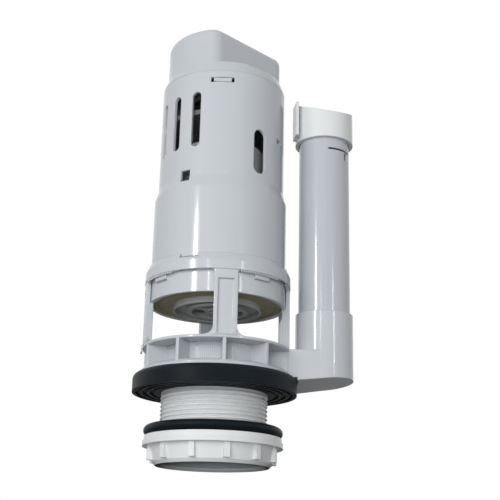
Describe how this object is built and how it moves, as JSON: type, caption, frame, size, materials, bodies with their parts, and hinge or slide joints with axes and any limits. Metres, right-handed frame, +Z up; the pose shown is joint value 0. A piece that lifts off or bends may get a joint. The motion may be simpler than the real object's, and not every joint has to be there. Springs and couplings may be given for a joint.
{
  "type": "toilet flush valve",
  "caption": "Dual flush canister valve with bayonet cage, lift seal, side overflow tube, tank gasket and threaded outlet with lock nut.",
  "frame": {"origin": "on the outlet axis at the tank floor plane, where the tank gasket's underside lies", "axes": "+Z up along the outlet and canister axis, +X towards the overflow tube"},
  "size_m": [0.1261, 0.092, 0.2516],
  "materials": {
    "body_plastic": "satin moulded",
    "white_plastic": "satin moulded",
    "tube_plastic": "smooth drawn",
    "inner_plastic": "matte moulded",
    "black_rubber": "matte",
    "seal_silicone": "satin silicone",
    "pin_steel": "drawn stainless wire"
  },
  "bodies": {
    "base": {"valve_base": "body_plastic", "cage": "body_plastic", "tank_gasket": "black_rubber", "tube_seal": "black_rubber", "overflow_tube": "tube_plastic", "overflow_cap": "white_plastic"},
    "washer": {"back_washer": "black_rubber"},
    "nut": {"lock_nut": "white_plastic"},
    "canister": {"canister_shell": "body_plastic", "top_cover": "body_plastic", "lever_bridge": "inner_plastic", "rocker_pin": "pin_steel", "latch_pin": "pin_steel", "half_key_spring": "pin_steel"},
    "stem": {"stem": "inner_plastic", "seal_carrier": "inner_plastic", "main_seal": "seal_silicone", "seal_retainer": "inner_plastic", "full_float": "white_plastic", "float_clip": "inner_plastic"},
    "half_float": {"half_float": "white_plastic"},
    "full_key": {"full_key": "white_plastic"},
    "full_rocker": {"full_rocker": "inner_plastic"},
    "half_key": {"half_key": "white_plastic"},
    "half_latch": {"half_latch": "inner_plastic"}
  },
  "joints": [
    {"name": "washer_slide", "type": "slide", "parent": "base", "child": "washer", "axis": [0, 0, 1], "range_m": [0, 0.0151]},
    {"name": "nut_turn", "type": "hinge", "parent": "washer", "child": "nut", "pos_m": [0, 0, -0.0315], "axis": [0, 0, 1], "range_deg": [0, 2340]},
    {"name": "canister_twist", "type": "hinge", "parent": "base", "child": "canister", "pos_m": [0, 0, 0.0665], "axis": [0, 0, 1], "range_deg": [0, 29]},
    {"name": "stem_lift", "type": "slide", "parent": "canister", "child": "stem", "axis": [0, 0, 1], "range_m": [-0.023, 0]},
    {"name": "half_float_slide", "type": "slide", "parent": "stem", "child": "half_float", "axis": [0, 0, 1], "range_m": [0, 0.009]},
    {"name": "full_key_push", "type": "slide", "parent": "canister", "child": "full_key", "axis": [0, 0, 1], "range_m": [0, 0.01005]},
    {"name": "full_rocker_turn", "type": "hinge", "parent": "canister", "child": "full_rocker", "pos_m": [-0.01837, -0.01384, 0.177], "axis": [-0.6018, 0.7986, 0], "range_deg": [0, 74.6]},
    {"name": "half_key_push", "type": "slide", "parent": "canister", "child": "half_key", "axis": [0, 0, 1], "range_m": [-0.01004, 0], "stiffness_N_per_m": 100, "springref_m": 0.004, "deforming": ["half_key_spring"]},
    {"name": "half_latch_turn", "type": "hinge", "parent": "canister", "child": "half_latch", "pos_m": [0.01358, 0.01023, 0.177], "axis": [-0.6018, 0.7986, 0], "range_deg": [0, 41.2]}
  ],
  "couplings": [
    {"joint": "washer_slide", "follows": "nut_turn", "m_per_rad": 0.00036749},
    {"joint": "full_key_push", "follows": "stem_lift", "ratio": -0.43684},
    {"joint": "full_rocker_turn", "follows": "stem_lift", "rad_per_m": -56.52},
    {"joint": "half_latch_turn", "follows": "half_key_push", "rad_per_m": -71.43}
  ]
}
